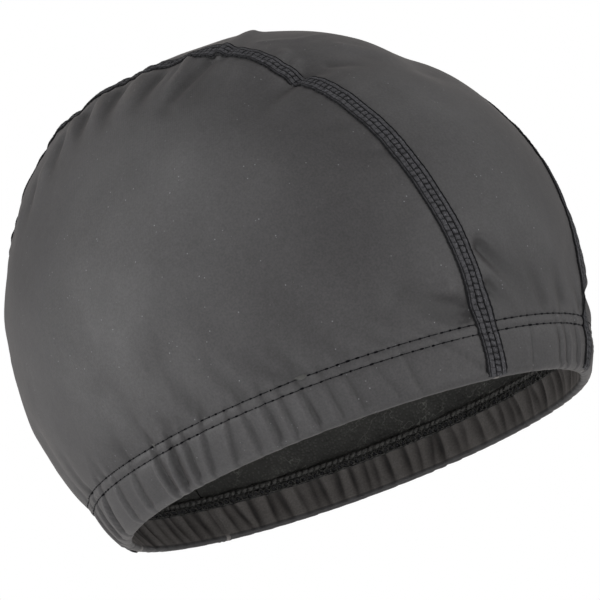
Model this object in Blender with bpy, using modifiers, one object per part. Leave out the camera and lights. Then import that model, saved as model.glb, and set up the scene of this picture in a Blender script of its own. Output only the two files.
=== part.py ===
"""Swim cap: two side panels and a middle strip of stretch cloth, filled out as on a head.

Metres, +Z up, +X to the forehead, +Y to the wearer's left. The origin lies inside the crown, where the
top of the head bears. Below, heights start at the rim. A place on the dome is a level, which counts the
rows of SECTIONS up from the rim, and an azimuth, which turns from the forehead (0) to the left ear (+90
degrees) or the right ear (-90) and on to the nape (180).
"""
import functools
import math

import bmesh
import bpy
from mathutils import Vector

# The dome
FRONT_LENGTH = 0.096
BACK_LENGTH = 0.104
HALF_WIDTH = 0.082
CAP_HEIGHT = 0.146
CROWN_SET_BACK = 0.018

# The cloth and its hem
CLOTH = 0.001
HEM_HEIGHT = 0.0175
HEM_DEPTH = 0.004
HEM_TOP_DEPTH = 0.0027
GATHER_PITCH = 0.0054
GATHER_DEPTH = 0.0007
PLEAT_DEPTH = 0.00035
WAIST_DEPTH = 0.0008
WAIST_HEIGHT = 0.005

# The strip, its seams and the stitched band inside the hem
STRIP_HALF_WIDTH = 0.037
SEAM_WIDTH = 0.006
SEAM_THICKNESS = 0.0008
BAND_HEIGHT = 0.0048
BAND_THICKNESS = 0.0006
BAND_DROP = 0.0006

# Folds and puckers
FOLD_WIDTH = 0.010
FOLD_DEPTH = 0.002
PUCKER_DEPTH = 0.0011
PUCKER_REACH = 0.016

# Clearances
PANEL_GAP = 0.0006
SEAT_GAP = 0.0003

# Level of the widest section, and how far up the dome the centre of the folds lies
WIDEST_LEVEL = 2
FOLD_CENTRE = 0.45

SECTIONS = (
    # height, front, back, side: shares of CAP_HEIGHT, FRONT_LENGTH, BACK_LENGTH, HALF_WIDTH
    (0.00, 0.88, 0.83, 0.84),
    (0.14, 0.95, 0.93, 0.95),
    (0.34, 1.00, 1.00, 1.00),
    (0.55, 0.97, 0.95, 0.97),
    (0.74, 0.84, 0.80, 0.83),
    (0.88, 0.64, 0.61, 0.64),
    (0.97, 0.38, 0.39, 0.37),
    (1.00, 0.00, 0.00, 0.00),
)

# Half width of the strip at equal steps from the forehead over the crown to the nape, as shares
STRIP_SHARES = (0.63, 0.82, 0.97, 1.00, 1.00, 1.00, 0.97, 0.82, 0.63)

# How strongly the cloth puckers beside the seams at the same steps
PUCKER_SHARES = (0.0, 0.1, 0.15, 0.4, 0.85, 1.0, 0.7, 0.3, 0.0)

# Rows of the side panels between the hem line and the seam, as shares of the way up
PANEL_ROWS = (0.12, 0.26, 0.40, 0.54, 0.67, 0.79, 0.90)

FOLDS = (
    # azimuth and height share of both ends, width share, depth share, mirrored to the other side
    (-31, 0.76, -46, 0.67, 1.0, -1.2, True),
    (-49, 0.90, -42, 0.82, 0.8, 0.8, True),
    (-31, 0.75, -12, 0.77, 0.8, -1.0, False),
    (15, 0.82, 4, 0.73, 0.9, -0.9, False),
    (-22, 0.96, -38, 0.93, 0.8, 0.7, False),
    (-24, 0.90, -3, 0.88, 0.8, 0.6, False),
    (-22, 0.21, -38, 0.22, 0.8, -0.7, True),
    (-15, 0.24, -7, 0.15, 0.7, -0.5, True),
    (-4, 0.25, 1, 0.16, 0.7, -0.5, False),
    (-52, 0.15, -58, 0.23, 0.8, -0.5, True),
    (-64, 0.16, -74, 0.25, 0.9, -0.6, True),
    (-84, 0.16, -87, 0.25, 0.8, -0.5, True),
    (-102, 0.17, -104, 0.25, 0.8, -0.5, True),
    (-140, 0.14, -138, 0.27, 0.7, -0.5, True),
)

FORWARD, BACKWARD = 1, -1


def spline(rows, position):
    """A smooth curve through rows of equal spacing; the ends run on straight."""
    last = len(rows) - 1
    index = min(max(int(position), 0), last - 1)
    share = min(max(position - index, 0.0), 1.0)
    start, stop = rows[index], rows[index + 1]
    before = rows[index - 1] if index > 0 else [2 * a - b for a, b in zip(start, stop)]
    after = rows[index + 2] if index + 2 <= last else [2 * b - a for a, b in zip(start, stop)]
    values = []
    for p0, p1, p2, p3 in zip(before, start, stop, after):
        bend = 2 * p0 - 5 * p1 + 4 * p2 - p3
        twist = 3 * p1 - p0 - 3 * p2 + p3
        values.append(0.5 * (2 * p1 + (p2 - p0) * share + bend * share**2 + twist * share**3))
    return values


def section(level):
    """Height, centre, front reach, back reach and half width of the dome's level."""
    # The mirrored row past the crown closes the dome with a level top.
    height, front, back, side = SECTIONS[-2]
    rows = SECTIONS + ((height, -front, -back, -side),)
    top = len(SECTIONS) - 1
    height, front, back, side = spline(rows, min(max(level, 0.0), top - 1e-6))
    centre = -CROWN_SET_BACK * height**2
    return height * CAP_HEIGHT, centre, front * FRONT_LENGTH, back * BACK_LENGTH, side * HALF_WIDTH


def solve(rises, low, high):
    """The value between low and high where rises turns from False to True."""
    for _ in range(40):
        middle = 0.5 * (low + high)
        low, high = (low, middle) if rises(middle) else (middle, high)
    return 0.5 * (low + high)


def level_at(height):
    """The level at a height above the rim."""
    return solve(lambda level: section(level)[0] > height, 0.0, len(SECTIONS) - 1)


def dome(level, azimuth):
    """A point of the smooth dome."""
    height, centre, front, back, side = section(level)
    reach = front if math.cos(azimuth) > 0 else back
    return Vector((centre + reach * math.cos(azimuth), side * math.sin(azimuth), height))


def outward(level, azimuth):
    """The dome's outward direction at a place."""
    step = 0.01
    across = dome(level, azimuth + step) - dome(level, azimuth - step)
    upward = dome(level + step, azimuth) - dome(level - step, azimuth)
    normal = across.cross(upward)
    return normal.normalized() if normal.length > 1e-12 else Vector((0, 0, 1))


def along_of(point):
    """Share of the way from the forehead over the crown to the nape."""
    return math.atan2(max(point.z, 0.0), point.x) / math.pi


def strip_half(along):
    """Half width of the middle strip."""
    rows = [(share,) for share in STRIP_SHARES]
    return spline(rows, along * (len(rows) - 1))[0] * STRIP_HALF_WIDTH


def place_over(along, across):
    """Level and azimuth of the dome's point at a share along the strip and a distance from its middle."""
    reach = abs(across)
    top = solve(lambda level: section(level)[4] < reach, WIDEST_LEVEL, len(SECTIONS) - 1)

    def place(way):
        level = way if way < top else 2 * top - way
        turn = math.asin(min(1.0, reach / max(section(level)[4], 1e-9)))
        return level, turn if way < top else math.pi - turn

    way = solve(lambda way: along_of(dome(*place(way))) > along, 0.0, 2 * top)
    level, azimuth = place(way)
    return level, math.copysign(azimuth, across)


def place_low(height, across_from_seam, end, side):
    """Level and azimuth at a height near the rim, at a distance outside a seam's middle line."""
    level = level_at(height)
    _, centre, front, back, half = section(level)
    reach = front if end == FORWARD else back
    along = 0.0
    for _ in range(8):
        across = strip_half(along) + across_from_seam
        turn = math.asin(across / half)
        along = math.atan2(height, reach * math.cos(turn) + end * centre) / math.pi
    turn = turn if end == FORWARD else math.pi - turn
    return level, side * turn


@functools.cache
def fold_centre():
    """The point inside the dome from which the folds are laid out."""
    return Vector((0, 0, FOLD_CENTRE * CAP_HEIGHT))


@functools.cache
def fold_lines():
    """Start, run, width and height of each fold, as directions from the fold centre."""
    lines = []
    for azimuth_a, height_a, azimuth_b, height_b, width, depth, mirrored in FOLDS:
        for sign in (1, -1) if mirrored else (1,):
            ends = []
            for azimuth, height in ((azimuth_a, height_a), (azimuth_b, height_b)):
                place = dome(level_at(height * CAP_HEIGHT), sign * math.radians(azimuth))
                ends.append((place - fold_centre()).normalized())
            lines.append((ends[0], ends[1] - ends[0], width * FOLD_WIDTH, depth * FOLD_DEPTH))
    return lines


def fold_relief(point):
    """Height of the soft folds over the smooth dome."""
    radius = (point - fold_centre()).length
    toward = (point - fold_centre()).normalized()
    relief = 0.0
    for start, run, width, depth in fold_lines():
        share = min(max((toward - start).dot(run) / run.length_squared, 0.0), 1.0)
        gap = (toward - (start + share * run).normalized()).length * radius
        relief += depth * math.exp(-((gap / width) ** 2))
    return relief


def pucker_relief(point, stations):
    """Puckers across the seams: a crest at every second station, fading away from the seam."""
    along = along_of(point)
    step = stations[1] - stations[0]
    rows = [(share,) for share in PUCKER_SHARES]
    strength = spline(rows, along * (len(rows) - 1))[0]
    gap = abs(abs(point.y) - strip_half(along))
    wave = math.cos(math.pi * (along - stations[0]) / step)
    return PUCKER_DEPTH * strength * wave * math.exp(-gap / PUCKER_REACH)


def waist_relief(point):
    """The pinch of the cloth where the hem is stitched."""
    line = HEM_HEIGHT - 0.5 * BAND_HEIGHT
    return -WAIST_DEPTH * math.exp(-(((point.z - line) / WAIST_HEIGHT) ** 2))


def skin(place, stations, lift=0.0):
    """A point of the cap's outer face, or lift above it."""
    point = dome(*place)
    relief = fold_relief(point) + pucker_relief(point, stations) + waist_relief(point)
    return point + outward(*place) * (relief + lift)


def pleat(height):
    """Depth of the outer pleats at a height: full at the rim, none above the hem."""
    return PLEAT_DEPTH * max(0.0, 1.0 - height / HEM_HEIGHT)


def inner_depth(height):
    """How far the turned-in ply's face lies inside the outer face."""
    return HEM_DEPTH + (HEM_TOP_DEPTH - HEM_DEPTH) * height / HEM_HEIGHT


def gather(height):
    """Depth of the gathers at a height of the turned-in ply, held flatter by the stitches above."""
    return GATHER_DEPTH * (1.0 - 0.5 * height / HEM_HEIGHT)


def hem_point(place, depth, drop=0.0):
    """A point inside the outer face by depth, level with it or dropped below it."""
    normal = outward(*place)
    flat = Vector((normal.x, normal.y, 0)).normalized()
    point = dome(*place)
    point += normal * waist_relief(point) - flat * depth
    point.z -= drop
    return point


def spread(place_a, place_b, count):
    """Places at one level, evenly spread over the azimuth between two."""
    level, first = place_a
    last = place_b[1]
    return [(level, first + (last - first) * j / count) for j in range(count + 1)]


def side_edges(height, side):
    """The front and back ends of a side panel at a height near the rim."""
    return [place_low(height, PANEL_GAP / 2, end, side) for end in (FORWARD, BACKWARD)]


def strip_edges(height, end):
    """The right and left ends of the strip at a height near the rim, in the order of +Y."""
    return [place_low(height, -PANEL_GAP / 2, end, side) for side in (-1, 1)]


def strip_places(height, end, count):
    """Places across the strip at a height near the rim."""
    (level, first), (_, last) = strip_edges(height, end)
    half = section(level)[4]
    spans = [half * math.sin(azimuth) for azimuth in (first, last)]
    places = []
    for j in range(count + 1):
        turn = math.asin((spans[0] + (spans[1] - spans[0]) * j / count) / half)
        if end == BACKWARD:
            turn = math.copysign(math.pi, turn) - turn
        places.append((level, turn))
    return places


def even_count(places):
    """How many gathers fit between the two ends of a run of places, made even."""
    points = [dome(*place) for place in places]
    length = sum((b - a).length for a, b in zip(points, points[1:]))
    return max(2, 2 * round(length / GATHER_PITCH / 2))


def hem_heights():
    """Heights of the outer ply's rows and of the turned-in ply's rows."""
    bottom = HEM_DEPTH / 2
    return (bottom, HEM_HEIGHT / 2, HEM_HEIGHT), (HEM_HEIGHT, HEM_HEIGHT / 2, bottom)


def hem_rows(places_at, count, stations):
    """Rows of points from the raw edge inside, round the fold and up the outer ply to the hem line."""
    outer, inner = hem_heights()
    rows = []
    for height in inner:
        row = []
        for j, place in enumerate(places_at(height, 2 * count)):
            wave = gather(height) * (-1) ** j
            row.append(hem_point(place, inner_depth(height) - wave))
        rows.append(row)
    fold = places_at(0.0, 2 * count)
    rows.append([hem_point(place, HEM_DEPTH / 2) for place in fold])
    for height in outer:
        row = []
        for j, place in enumerate(places_at(height, count)):
            row.append(skin(place, stations, pleat(height) * (-1) ** j))
        rows.append(row)
    return rows


def make_stations():
    """Shares along the seam where every piece beside it has a row, from hem line to hem line."""
    ends = []
    for end in (FORWARD, BACKWARD):
        ends.append(along_of(dome(*place_low(HEM_HEIGHT, 0.0, end, 1))))
    count = side_count()
    return [ends[0] + (ends[1] - ends[0]) * j / count for j in range(count + 1)]


def side_count():
    """Gathers in a side panel's hem."""
    front, back = side_edges(0.0, 1)
    return even_count(spread(front, back, 40))


def strip_count():
    """Gathers in either end of the strip."""
    return even_count(strip_places(0.0, FORWARD, 8))


def bridge(mesh, row_a, row_b):
    """Faces between two rows of vertices; the lower row may be twice as fine."""
    if len(row_a) == len(row_b):
        for j in range(len(row_a) - 1):
            mesh.faces.new((row_a[j], row_a[j + 1], row_b[j + 1], row_b[j]))
        return
    for j in range(len(row_b) - 1):
        left, middle, right = row_a[2 * j : 2 * j + 3]
        mesh.faces.new((left, middle, row_b[j]))
        mesh.faces.new((middle, row_b[j + 1], row_b[j]))
        mesh.faces.new((middle, right, row_b[j + 1]))


def make_material(name, color, roughness):
    material = bpy.data.materials.new(name)
    material.use_nodes = True
    shader = material.node_tree.nodes["Principled BSDF"]
    shader.inputs["Base Color"].default_value = (*color, 1)
    shader.inputs["Roughness"].default_value = roughness
    shader.inputs["Metallic"].default_value = 0.0
    material.diffuse_color = (*color, 1)
    return material


def make_sheet(name, rows, thickness, offset, material, collection, frame):
    """A piece of cloth or tape: a surface through rows of points, thickened to one side."""
    surface = bmesh.new()
    lines = [[surface.verts.new(point) for point in row] for row in rows]
    for row_a, row_b in zip(lines, lines[1:]):
        bridge(surface, row_a, row_b)
    bmesh.ops.remove_doubles(surface, verts=surface.verts, dist=1e-5)
    mesh = bpy.data.meshes.new(name)
    surface.to_mesh(mesh)
    surface.free()
    mesh.materials.append(material)
    mesh.shade_smooth()
    sheet = bpy.data.objects.new(name, mesh)
    collection.objects.link(sheet)
    sheet.parent = frame
    wall = sheet.modifiers.new("wall", "SOLIDIFY")
    wall.thickness = thickness
    wall.offset = offset
    return sheet


def make_side_panel(name, side, stations, material, collection, frame):
    """A D-shaped panel: its turned hem, then columns from the hem line up to the seam."""
    count = len(stations) - 1

    def places_at(height, columns):
        front, back = side_edges(height, side)
        return spread(front, back, columns)

    rows = hem_rows(places_at, count, stations)
    low = places_at(HEM_HEIGHT, count)

    def places_beside_seam(distance):
        places = [place_over(along, side * (strip_half(along) + distance)) for along in stations]
        places[0], places[-1] = low[0], low[-1]
        return places

    high = places_beside_seam(SEAM_WIDTH / 2 + SEAT_GAP)
    for share in PANEL_ROWS + (1.0,):
        row = []
        for (level_a, azimuth_a), (level_b, azimuth_b) in zip(low, high):
            level = level_a + (level_b - level_a) * share
            azimuth = azimuth_a + (azimuth_b - azimuth_a) * share
            row.append(skin((level, azimuth), stations))
        rows.append(row)
    rows.append([skin(place, stations) for place in places_beside_seam(PANEL_GAP / 2)])
    if side < 0:
        rows = [row[::-1] for row in rows]
    return make_sheet(name, rows, CLOTH, -1, material, collection, frame)


def make_middle_panel(name, stations, material, collection, frame):
    """The strip: a turned hem at the forehead, rows over the crown, and a turned hem at the nape."""
    count = strip_count()

    def places_from(end):
        return lambda height, columns: strip_places(height, end, columns)

    rows = hem_rows(places_from(FORWARD), count, stations)
    for along in stations[1:-1]:
        edge = strip_half(along) - PANEL_GAP / 2
        inner = strip_half(along) - SEAM_WIDTH / 2 - SEAT_GAP
        spots = [inner * (2 * j / (count - 2) - 1) for j in range(count - 1)]
        spots = [-edge] + spots + [edge]
        rows.append([skin(place_over(along, spot), stations) for spot in spots])
    nape = hem_rows(places_from(BACKWARD), count, stations)
    surface = make_sheet(name, rows + [nape[-1]], CLOTH, -1, material, collection, frame)
    add_rows(surface.data, nape)
    return surface


def add_rows(mesh, rows):
    """Adds a run of rows to a mesh, whose last row is already there, from its other side."""
    surface = bmesh.new()
    surface.from_mesh(mesh)
    lines = [[surface.verts.new(point) for point in row] for row in rows]
    old = len(surface.faces)
    for row_a, row_b in zip(lines, lines[1:]):
        bridge(surface, row_a, row_b)
    surface.faces.ensure_lookup_table()
    bmesh.ops.reverse_faces(surface, faces=surface.faces[old:])
    bmesh.ops.remove_doubles(surface, verts=surface.verts, dist=1e-5)
    surface.to_mesh(mesh)
    surface.free()
    mesh.shade_smooth()


def make_seam(name, side, stations, material, collection, frame):
    """A flat seam on the outside, from rim to rim over the crown."""
    offsets = [side * share * SEAM_WIDTH / 2 for share in (-1, 0, 1)]
    offsets = sorted(offsets)
    rows = []

    def low_row(height, end):
        lift = SEAT_GAP + pleat(height)
        row = []
        for offset in offsets:
            row.append(skin(place_low(height, side * offset, end, side), stations, lift))
        return row

    heights = hem_heights()[0][:-1]
    rows += [low_row(height, FORWARD) for height in heights]
    for along in stations:
        middle = side * strip_half(along)
        rows.append([skin(place_over(along, middle + offset), stations, SEAT_GAP) for offset in offsets])
    rows += [low_row(height, BACKWARD) for height in reversed(heights)]
    return make_sheet(name, rows, SEAM_THICKNESS, 1, material, collection, frame)


def make_stitch_band(name, stations, material, collection, frame):
    """The stitched band round the inside, over the raw edge of the hem."""
    sides, ends = len(stations) - 1, strip_count()
    rows = []
    for height in (HEM_HEIGHT - BAND_DROP, HEM_HEIGHT - BAND_DROP - BAND_HEIGHT):
        front, back = side_edges(height, 1)
        left = spread(front, back, 2 * sides)
        front, back = side_edges(height, -1)
        right = spread(back, front, 2 * sides)
        nape = strip_places(height, BACKWARD, 2 * ends)[::-1]
        row = []
        for run in (strip_places(height, FORWARD, 2 * ends), left, nape, right):
            for j, place in enumerate(run):
                wave = gather(height) * (-1) ** j
                row.append(hem_point(place, inner_depth(height) - wave + SEAT_GAP))
        rows.append(row + row[:1])
    return make_sheet(name, rows, BAND_THICKNESS, 1, material, collection, frame)


def clear_scene():
    for thing in list(bpy.data.objects):
        bpy.data.objects.remove(thing, do_unlink=True)


def main():
    clear_scene()
    collection = bpy.data.collections.new("swim_cap")
    bpy.context.scene.collection.children.link(collection)
    frame = bpy.data.objects.new("rim_frame", None)
    frame.location = (CROWN_SET_BACK, 0, CLOTH - CAP_HEIGHT)
    collection.objects.link(frame)
    cloth = make_material("cap_cloth", (0.075, 0.076, 0.079), 0.55)
    thread = make_material("seam_thread", (0.022, 0.022, 0.028), 0.8)
    stations = make_stations()
    make_side_panel("right_side_panel", -1, stations, cloth, collection, frame)
    make_side_panel("left_side_panel", 1, stations, cloth, collection, frame)
    make_middle_panel("middle_panel", stations, cloth, collection, frame)
    make_seam("right_seam", -1, stations, thread, collection, frame)
    make_seam("left_seam", 1, stations, thread, collection, frame)
    make_stitch_band("hem_stitch_band", stations, thread, collection, frame)
    bpy.context.view_layer.update()


main()
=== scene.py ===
"""Looks of the swim cap: cloth panels, sewing threads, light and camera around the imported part.

The shape functions work in metres from the middle of the rim, as in the part's source: +X to the forehead,
+Y to the wearer's left, +Z up. A place on the dome is a level, which counts the rows of SECTIONS up from the
rim, and an azimuth, which turns from the forehead (0) to the left ear (+90 degrees) and on to the nape.
"""

import itertools
import math

import bpy
import numpy as np
from mathutils import Matrix, Vector


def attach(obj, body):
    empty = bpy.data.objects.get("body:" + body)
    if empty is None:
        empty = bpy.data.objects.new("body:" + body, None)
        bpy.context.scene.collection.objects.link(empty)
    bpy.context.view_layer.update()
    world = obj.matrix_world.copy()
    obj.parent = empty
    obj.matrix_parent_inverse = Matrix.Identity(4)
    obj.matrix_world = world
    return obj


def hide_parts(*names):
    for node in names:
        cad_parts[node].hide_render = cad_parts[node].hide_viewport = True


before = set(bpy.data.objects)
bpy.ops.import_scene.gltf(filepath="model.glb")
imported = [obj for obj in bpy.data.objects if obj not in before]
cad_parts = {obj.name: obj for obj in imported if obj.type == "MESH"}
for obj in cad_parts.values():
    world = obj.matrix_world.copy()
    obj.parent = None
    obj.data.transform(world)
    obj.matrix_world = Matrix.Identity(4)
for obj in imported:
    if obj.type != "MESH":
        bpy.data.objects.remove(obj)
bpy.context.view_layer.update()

# Shape, with the values of the part's source
FRONT_LENGTH = 0.096
BACK_LENGTH = 0.104
HALF_WIDTH = 0.082
CAP_HEIGHT = 0.146
CROWN_SET_BACK = 0.018
CLOTH = 0.001
HEM_HEIGHT = 0.0175
HEM_DEPTH = 0.004
HEM_TOP_DEPTH = 0.0027
WAIST_DEPTH = 0.0008
WAIST_HEIGHT = 0.005
STRIP_HALF_WIDTH = 0.037
SEAM_WIDTH = 0.006
BAND_HEIGHT = 0.0048
FOLD_WIDTH = 0.010
FOLD_DEPTH = 0.002
PUCKER_DEPTH = 0.0011
PUCKER_REACH = 0.016
PUCKER_COUNT = 36
PANEL_GAP = 0.0006
WIDEST_LEVEL = 2
FOLD_CENTRE = 0.45
RIM_ORIGIN = np.array((CROWN_SET_BACK, 0.0, CLOTH - CAP_HEIGHT))
FOLD_MIDDLE = np.array((0, 0, FOLD_CENTRE * CAP_HEIGHT))

SECTIONS = (
    # height, front, back, side: shares of CAP_HEIGHT, FRONT_LENGTH, BACK_LENGTH, HALF_WIDTH
    (0.00, 0.88, 0.83, 0.84),
    (0.14, 0.95, 0.93, 0.95),
    (0.34, 1.00, 1.00, 1.00),
    (0.55, 0.97, 0.95, 0.97),
    (0.74, 0.84, 0.80, 0.83),
    (0.88, 0.64, 0.61, 0.64),
    (0.97, 0.38, 0.39, 0.37),
    (1.00, 0.00, 0.00, 0.00),
)

# Half width of the strip and strength of the puckers at equal steps from the forehead to the nape
STRIP_SHARES = (0.63, 0.82, 0.97, 1.00, 1.00, 1.00, 0.97, 0.82, 0.63)
PUCKER_SHARES = (0.0, 0.1, 0.15, 0.4, 0.85, 1.0, 0.7, 0.3, 0.0)

# Ends the row of a fold or a pleat that isn't mirrored to the other side
ONE_SIDE = True

FOLDS = (
    # azimuth and height share of both ends, width share, depth share
    (-32, 0.79, -46, 0.71, 0.8, -0.8),
    (-49, 0.9, -42, 0.82, 0.8, 0.8),
    (-31, 0.78, -12, 0.79, 0.8, -0.7, ONE_SIDE),
    (15, 0.82, 4, 0.73, 0.9, -0.9, ONE_SIDE),
    (-22, 0.96, -38, 0.93, 0.8, 0.2, ONE_SIDE),
    (-24, 0.9, -3, 0.88, 0.8, 0.1, ONE_SIDE),
    (-23, 0.15, -38, 0.2, 0.5, -0.6),
    (-15, 0.24, -7, 0.15, 0.7, -0.5),
    (-4, 0.25, 1, 0.16, 0.7, -0.5, ONE_SIDE),
    (-52, 0.15, -58, 0.23, 0.8, -0.5),
    (-64, 0.16, -74, 0.25, 0.9, -0.6),
    (-84, 0.16, -87, 0.25, 0.8, -0.5),
    (-102, 0.17, -104, 0.25, 0.8, -0.5),
    (-140, 0.14, -138, 0.27, 0.7, -0.5),
)

FINE_FOLDS = (
    # the same columns, for the narrow creases that the solids leave out
    (-49.8, 0.871, -66.2, 0.799, 0.24, -1.59),
    (-55.8, 0.902, -68.8, 0.827, 0.2, 0.65),
    (-59.8, 0.894, -69.8, 0.822, 0.15, -0.43),
    (-67, 0.902, -75, 0.837, 0.24, -0.72),
    (-73.5, 0.919, -79.5, 0.848, 0.26, 0.72),
    (-83.5, 0.918, -86.5, 0.843, 0.24, -0.8),
    (-91, 0.92, -91.5, 0.839, 0.26, 0.72),
    (-98, 0.906, -97, 0.833, 0.24, -0.8),
    (-104, 0.9, -100.8, 0.83, 0.24, 0.65),
    (-107.8, 0.871, -108, 0.79, 0.24, -0.72),
    (-112.5, 0.818, -113.5, 0.742, 0.24, 0.4),
    (-118, 0.8, -119, 0.73, 0.22, -0.4),
    (-125, 0.76, -126, 0.69, 0.22, 0.3),
    (-18.5, 0.958, -43, 0.89, 0.2, 0.5, ONE_SIDE),
    (-46.5, 0.879, -65, 0.798, 0.17, 1.16),
    (-30.2, 0.841, -42, 0.789, 0.2, 0.4),
    (-30.2, 0.812, -43.2, 0.74, 0.2, 0.4),
    (-33.5, 0.767, -46, 0.715, 0.22, -0.55),
    (-33, 0.77, -26, 0.765, 0.18, -0.4, ONE_SIDE),
    (-31.3, 0.891, -20.5, 0.871, 0.12, 0.22, ONE_SIDE),
    (-20.5, 0.871, 0, 0.883, 0.12, 0.22, ONE_SIDE),
    (-12.5, 0.831, -4.2, 0.792, 0.2, 0.3, ONE_SIDE),
    (-23.2, 0.783, -15, 0.759, 0.2, -0.4, ONE_SIDE),
    (-34.2, 0.592, -39.5, 0.603, 0.18, -0.16),
    (-28.2, 0.509, -39, 0.53, 0.19, -0.18),
    (-24.5, 0.142, -37.8, 0.2, 0.28, -0.75),
    (-25.5, 0.122, -35, 0.165, 0.16, -0.26),
    (-27, 0.19, -35, 0.232, 0.26, 0.3),
    (-29.2, 0.205, -42, 0.24, 0.2, -0.22),
    (-27.5, 0.117, -33.5, 0.142, 0.14, -0.18),
    (-17.4, 0.18, -12.4, 0.128, 0.2, -0.85, ONE_SIDE),
    (-17.2, 0.266, -7, 0.15, 0.22, -0.9, ONE_SIDE),
    (-1, 0.13, -6.5, 0.245, 0.2, -0.42, ONE_SIDE),
    (7, 0.13, 3.5, 0.23, 0.2, -0.4, ONE_SIDE),
    (16, 0.13, 12.5, 0.21, 0.18, -0.32, ONE_SIDE),
    (-44, 0.125, -50, 0.195, 0.19, -0.16),
    (-52, 0.12, -57.5, 0.205, 0.19, -0.18),
    (-61.8, 0.112, -67, 0.225, 0.2, -0.26),
    (-64.8, 0.116, -74, 0.22, 0.2, -0.24),
    (-75.4, 0.12, -80.6, 0.262, 0.21, -0.28),
    (-85.8, 0.12, -88.4, 0.255, 0.21, -0.24),
    (-93.5, 0.115, -95.2, 0.185, 0.18, -0.16),
    (-100.6, 0.118, -101.2, 0.25, 0.21, -0.25),
    (-108.8, 0.116, -107.6, 0.205, 0.19, -0.22),
    (-119.4, 0.116, -117.6, 0.2, 0.19, -0.18),
    (-131.6, 0.116, -128.4, 0.24, 0.2, -0.26),
    (-140.2, 0.118, -137.6, 0.22, 0.19, -0.2),
    (-148.2, 0.118, -145.6, 0.24, 0.2, -0.22),
    (-161, 0.118, -159.8, 0.21, 0.19, -0.18),
    (-172, 0.118, -173.2, 0.22, 0.19, -0.2),
)

PLEATS = (
    # azimuth at the stitches and at the rim, depth share, width in millimetres
    (-101.2, -103.2, 1.5, 1),
    (-96.5, -99.8, 1.9, 1.1),
    (-92.5, -95.5, 1.2, 1),
    (-87.3, -91.2, 1, 1),
    (-80.7, -84.6, 0.8, 1.1),
    (-77, -78, 0.7, 1),
    (-72, -73, 1.1, 1.2),
    (-68.2, -68.8, 0.8, 1),
    (-63.8, -63.4, 1.1, 1.1),
    (-58.5, -57.8, 0.7, 1),
    (-54.2, -52.8, 0.7, 1),
    (-47.8, -44.3, 0.5, 1),
    (-41.5, -39.4, 0.6, 1),
    (-32.8, -21, 0.6, 1.2),
    (2.8, 3.5, 0.7, 0.9, ONE_SIDE),
    (6, 7, 0.7, 0.9, ONE_SIDE),
    (-8, -8.5, 0.5, 0.9, ONE_SIDE),
    (12.2, 13, 0.7, 0.9, ONE_SIDE),
    (-109.5, -113, 0.8, 1.1),
    (-117, -121, 0.7, 1.1),
    (-125.5, -134, 1, 1.3),
    (-133, -140, 0.7, 1.1),
    (-140, -146, 0.6, 1.1),
    (-149, -152, 0.7, 1.1),
    (-158, -160, 0.6, 1),
    (-166, -167, 0.7, 1.1),
    (-174, -174.5, 0.6, 1),
)

# Stitches and gathers
STITCH_HEIGHTS = (0.0129, 0.0159)
STITCH_PITCH = 0.0032
SEAM_PITCH = 0.0020
BAND_PITCH = 0.0022
GATHER_PITCH = 0.0052
GATHER_DEPTH = 0.0013
PLEAT_DEPTH = 0.0013
PLEAT_TOP = 0.0135
SCALLOP = 0.50

# The hem bulges a little between the rim and the stitches
BULGE_HEIGHT = 0.0065
BULGE_REACH = 0.0042
BULGE_DEPTH = 0.0003

# How much the fine folds fade toward their end, and how much more those near the hem do
FINE_FADE = 0.7
FINE_TAPER = 0.9
TAPER_BELOW = 0.30

FORWARD, BACKWARD = 1, -1


def spline(rows, position):
    """A smooth curve through rows of equal spacing; the ends run on straight."""
    rows = np.asarray(rows, float)
    position = np.asarray(position, float)
    last = len(rows) - 1
    index = np.clip(np.floor(position).astype(int), 0, last - 1)
    share = np.clip(position - index, 0.0, 1.0)[..., None]
    row = np.vstack([2 * rows[0] - rows[1], rows, 2 * rows[-1] - rows[-2]])
    p0, p1, p2, p3 = (row[index + k] for k in range(4))
    bend = 2 * p0 - 5 * p1 + 4 * p2 - p3
    twist = 3 * p1 - p0 - 3 * p2 + p3
    return 0.5 * (2 * p1 + (p2 - p0) * share + bend * share**2 + twist * share**3)


def section(level):
    """Height, centre, front reach, back reach and half width of the dome at levels."""
    height, front, back, side = SECTIONS[-2]
    rows = SECTIONS + ((height, -front, -back, -side),)
    top = len(SECTIONS) - 1
    found = spline(rows, np.clip(level, 0.0, top - 1e-6))
    height, front, back, side = np.moveaxis(found, -1, 0)
    centre = -CROWN_SET_BACK * height**2
    return height * CAP_HEIGHT, centre, front * FRONT_LENGTH, back * BACK_LENGTH, side * HALF_WIDTH


def solve(rises, low, high):
    """The values between low and high where rises turns from False to True."""
    low, high = np.array(low, float), np.array(high, float)
    for _ in range(40):
        middle = 0.5 * (low + high)
        more = rises(middle)
        low, high = np.where(more, low, middle), np.where(more, middle, high)
    return 0.5 * (low + high)


def level_at(height):
    """The levels at heights above the rim."""
    height = np.asarray(height, float)
    zero = 0.0 * height
    return solve(lambda level: section(level)[0] > height, zero, zero + len(SECTIONS) - 1)


def dome(level, azimuth):
    """Points of the smooth dome."""
    height, centre, front, back, side = section(level)
    reach = np.where(np.cos(azimuth) > 0, front, back)
    x = centre + reach * np.cos(azimuth)
    y = side * np.sin(azimuth)
    return np.stack([x, y, height + 0.0 * x], -1)


def unit(vector):
    return vector / np.maximum(np.linalg.norm(vector, axis=-1, keepdims=True), 1e-12)


def bell(gap, width):
    """A smooth bump, 1 in its middle."""
    return np.exp(-((gap / width) ** 2))


def lengths_along(points):
    """Distance of each point from the first one, along the line through them."""
    return np.concatenate([[0.0], np.cumsum(np.linalg.norm(np.diff(points, axis=0), axis=1))])


def points_at(way, steps, values):
    """Points or directions of a line, at distances along it."""
    return np.stack([np.interp(way, steps, values[:, k]) for k in range(3)], -1)


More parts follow.
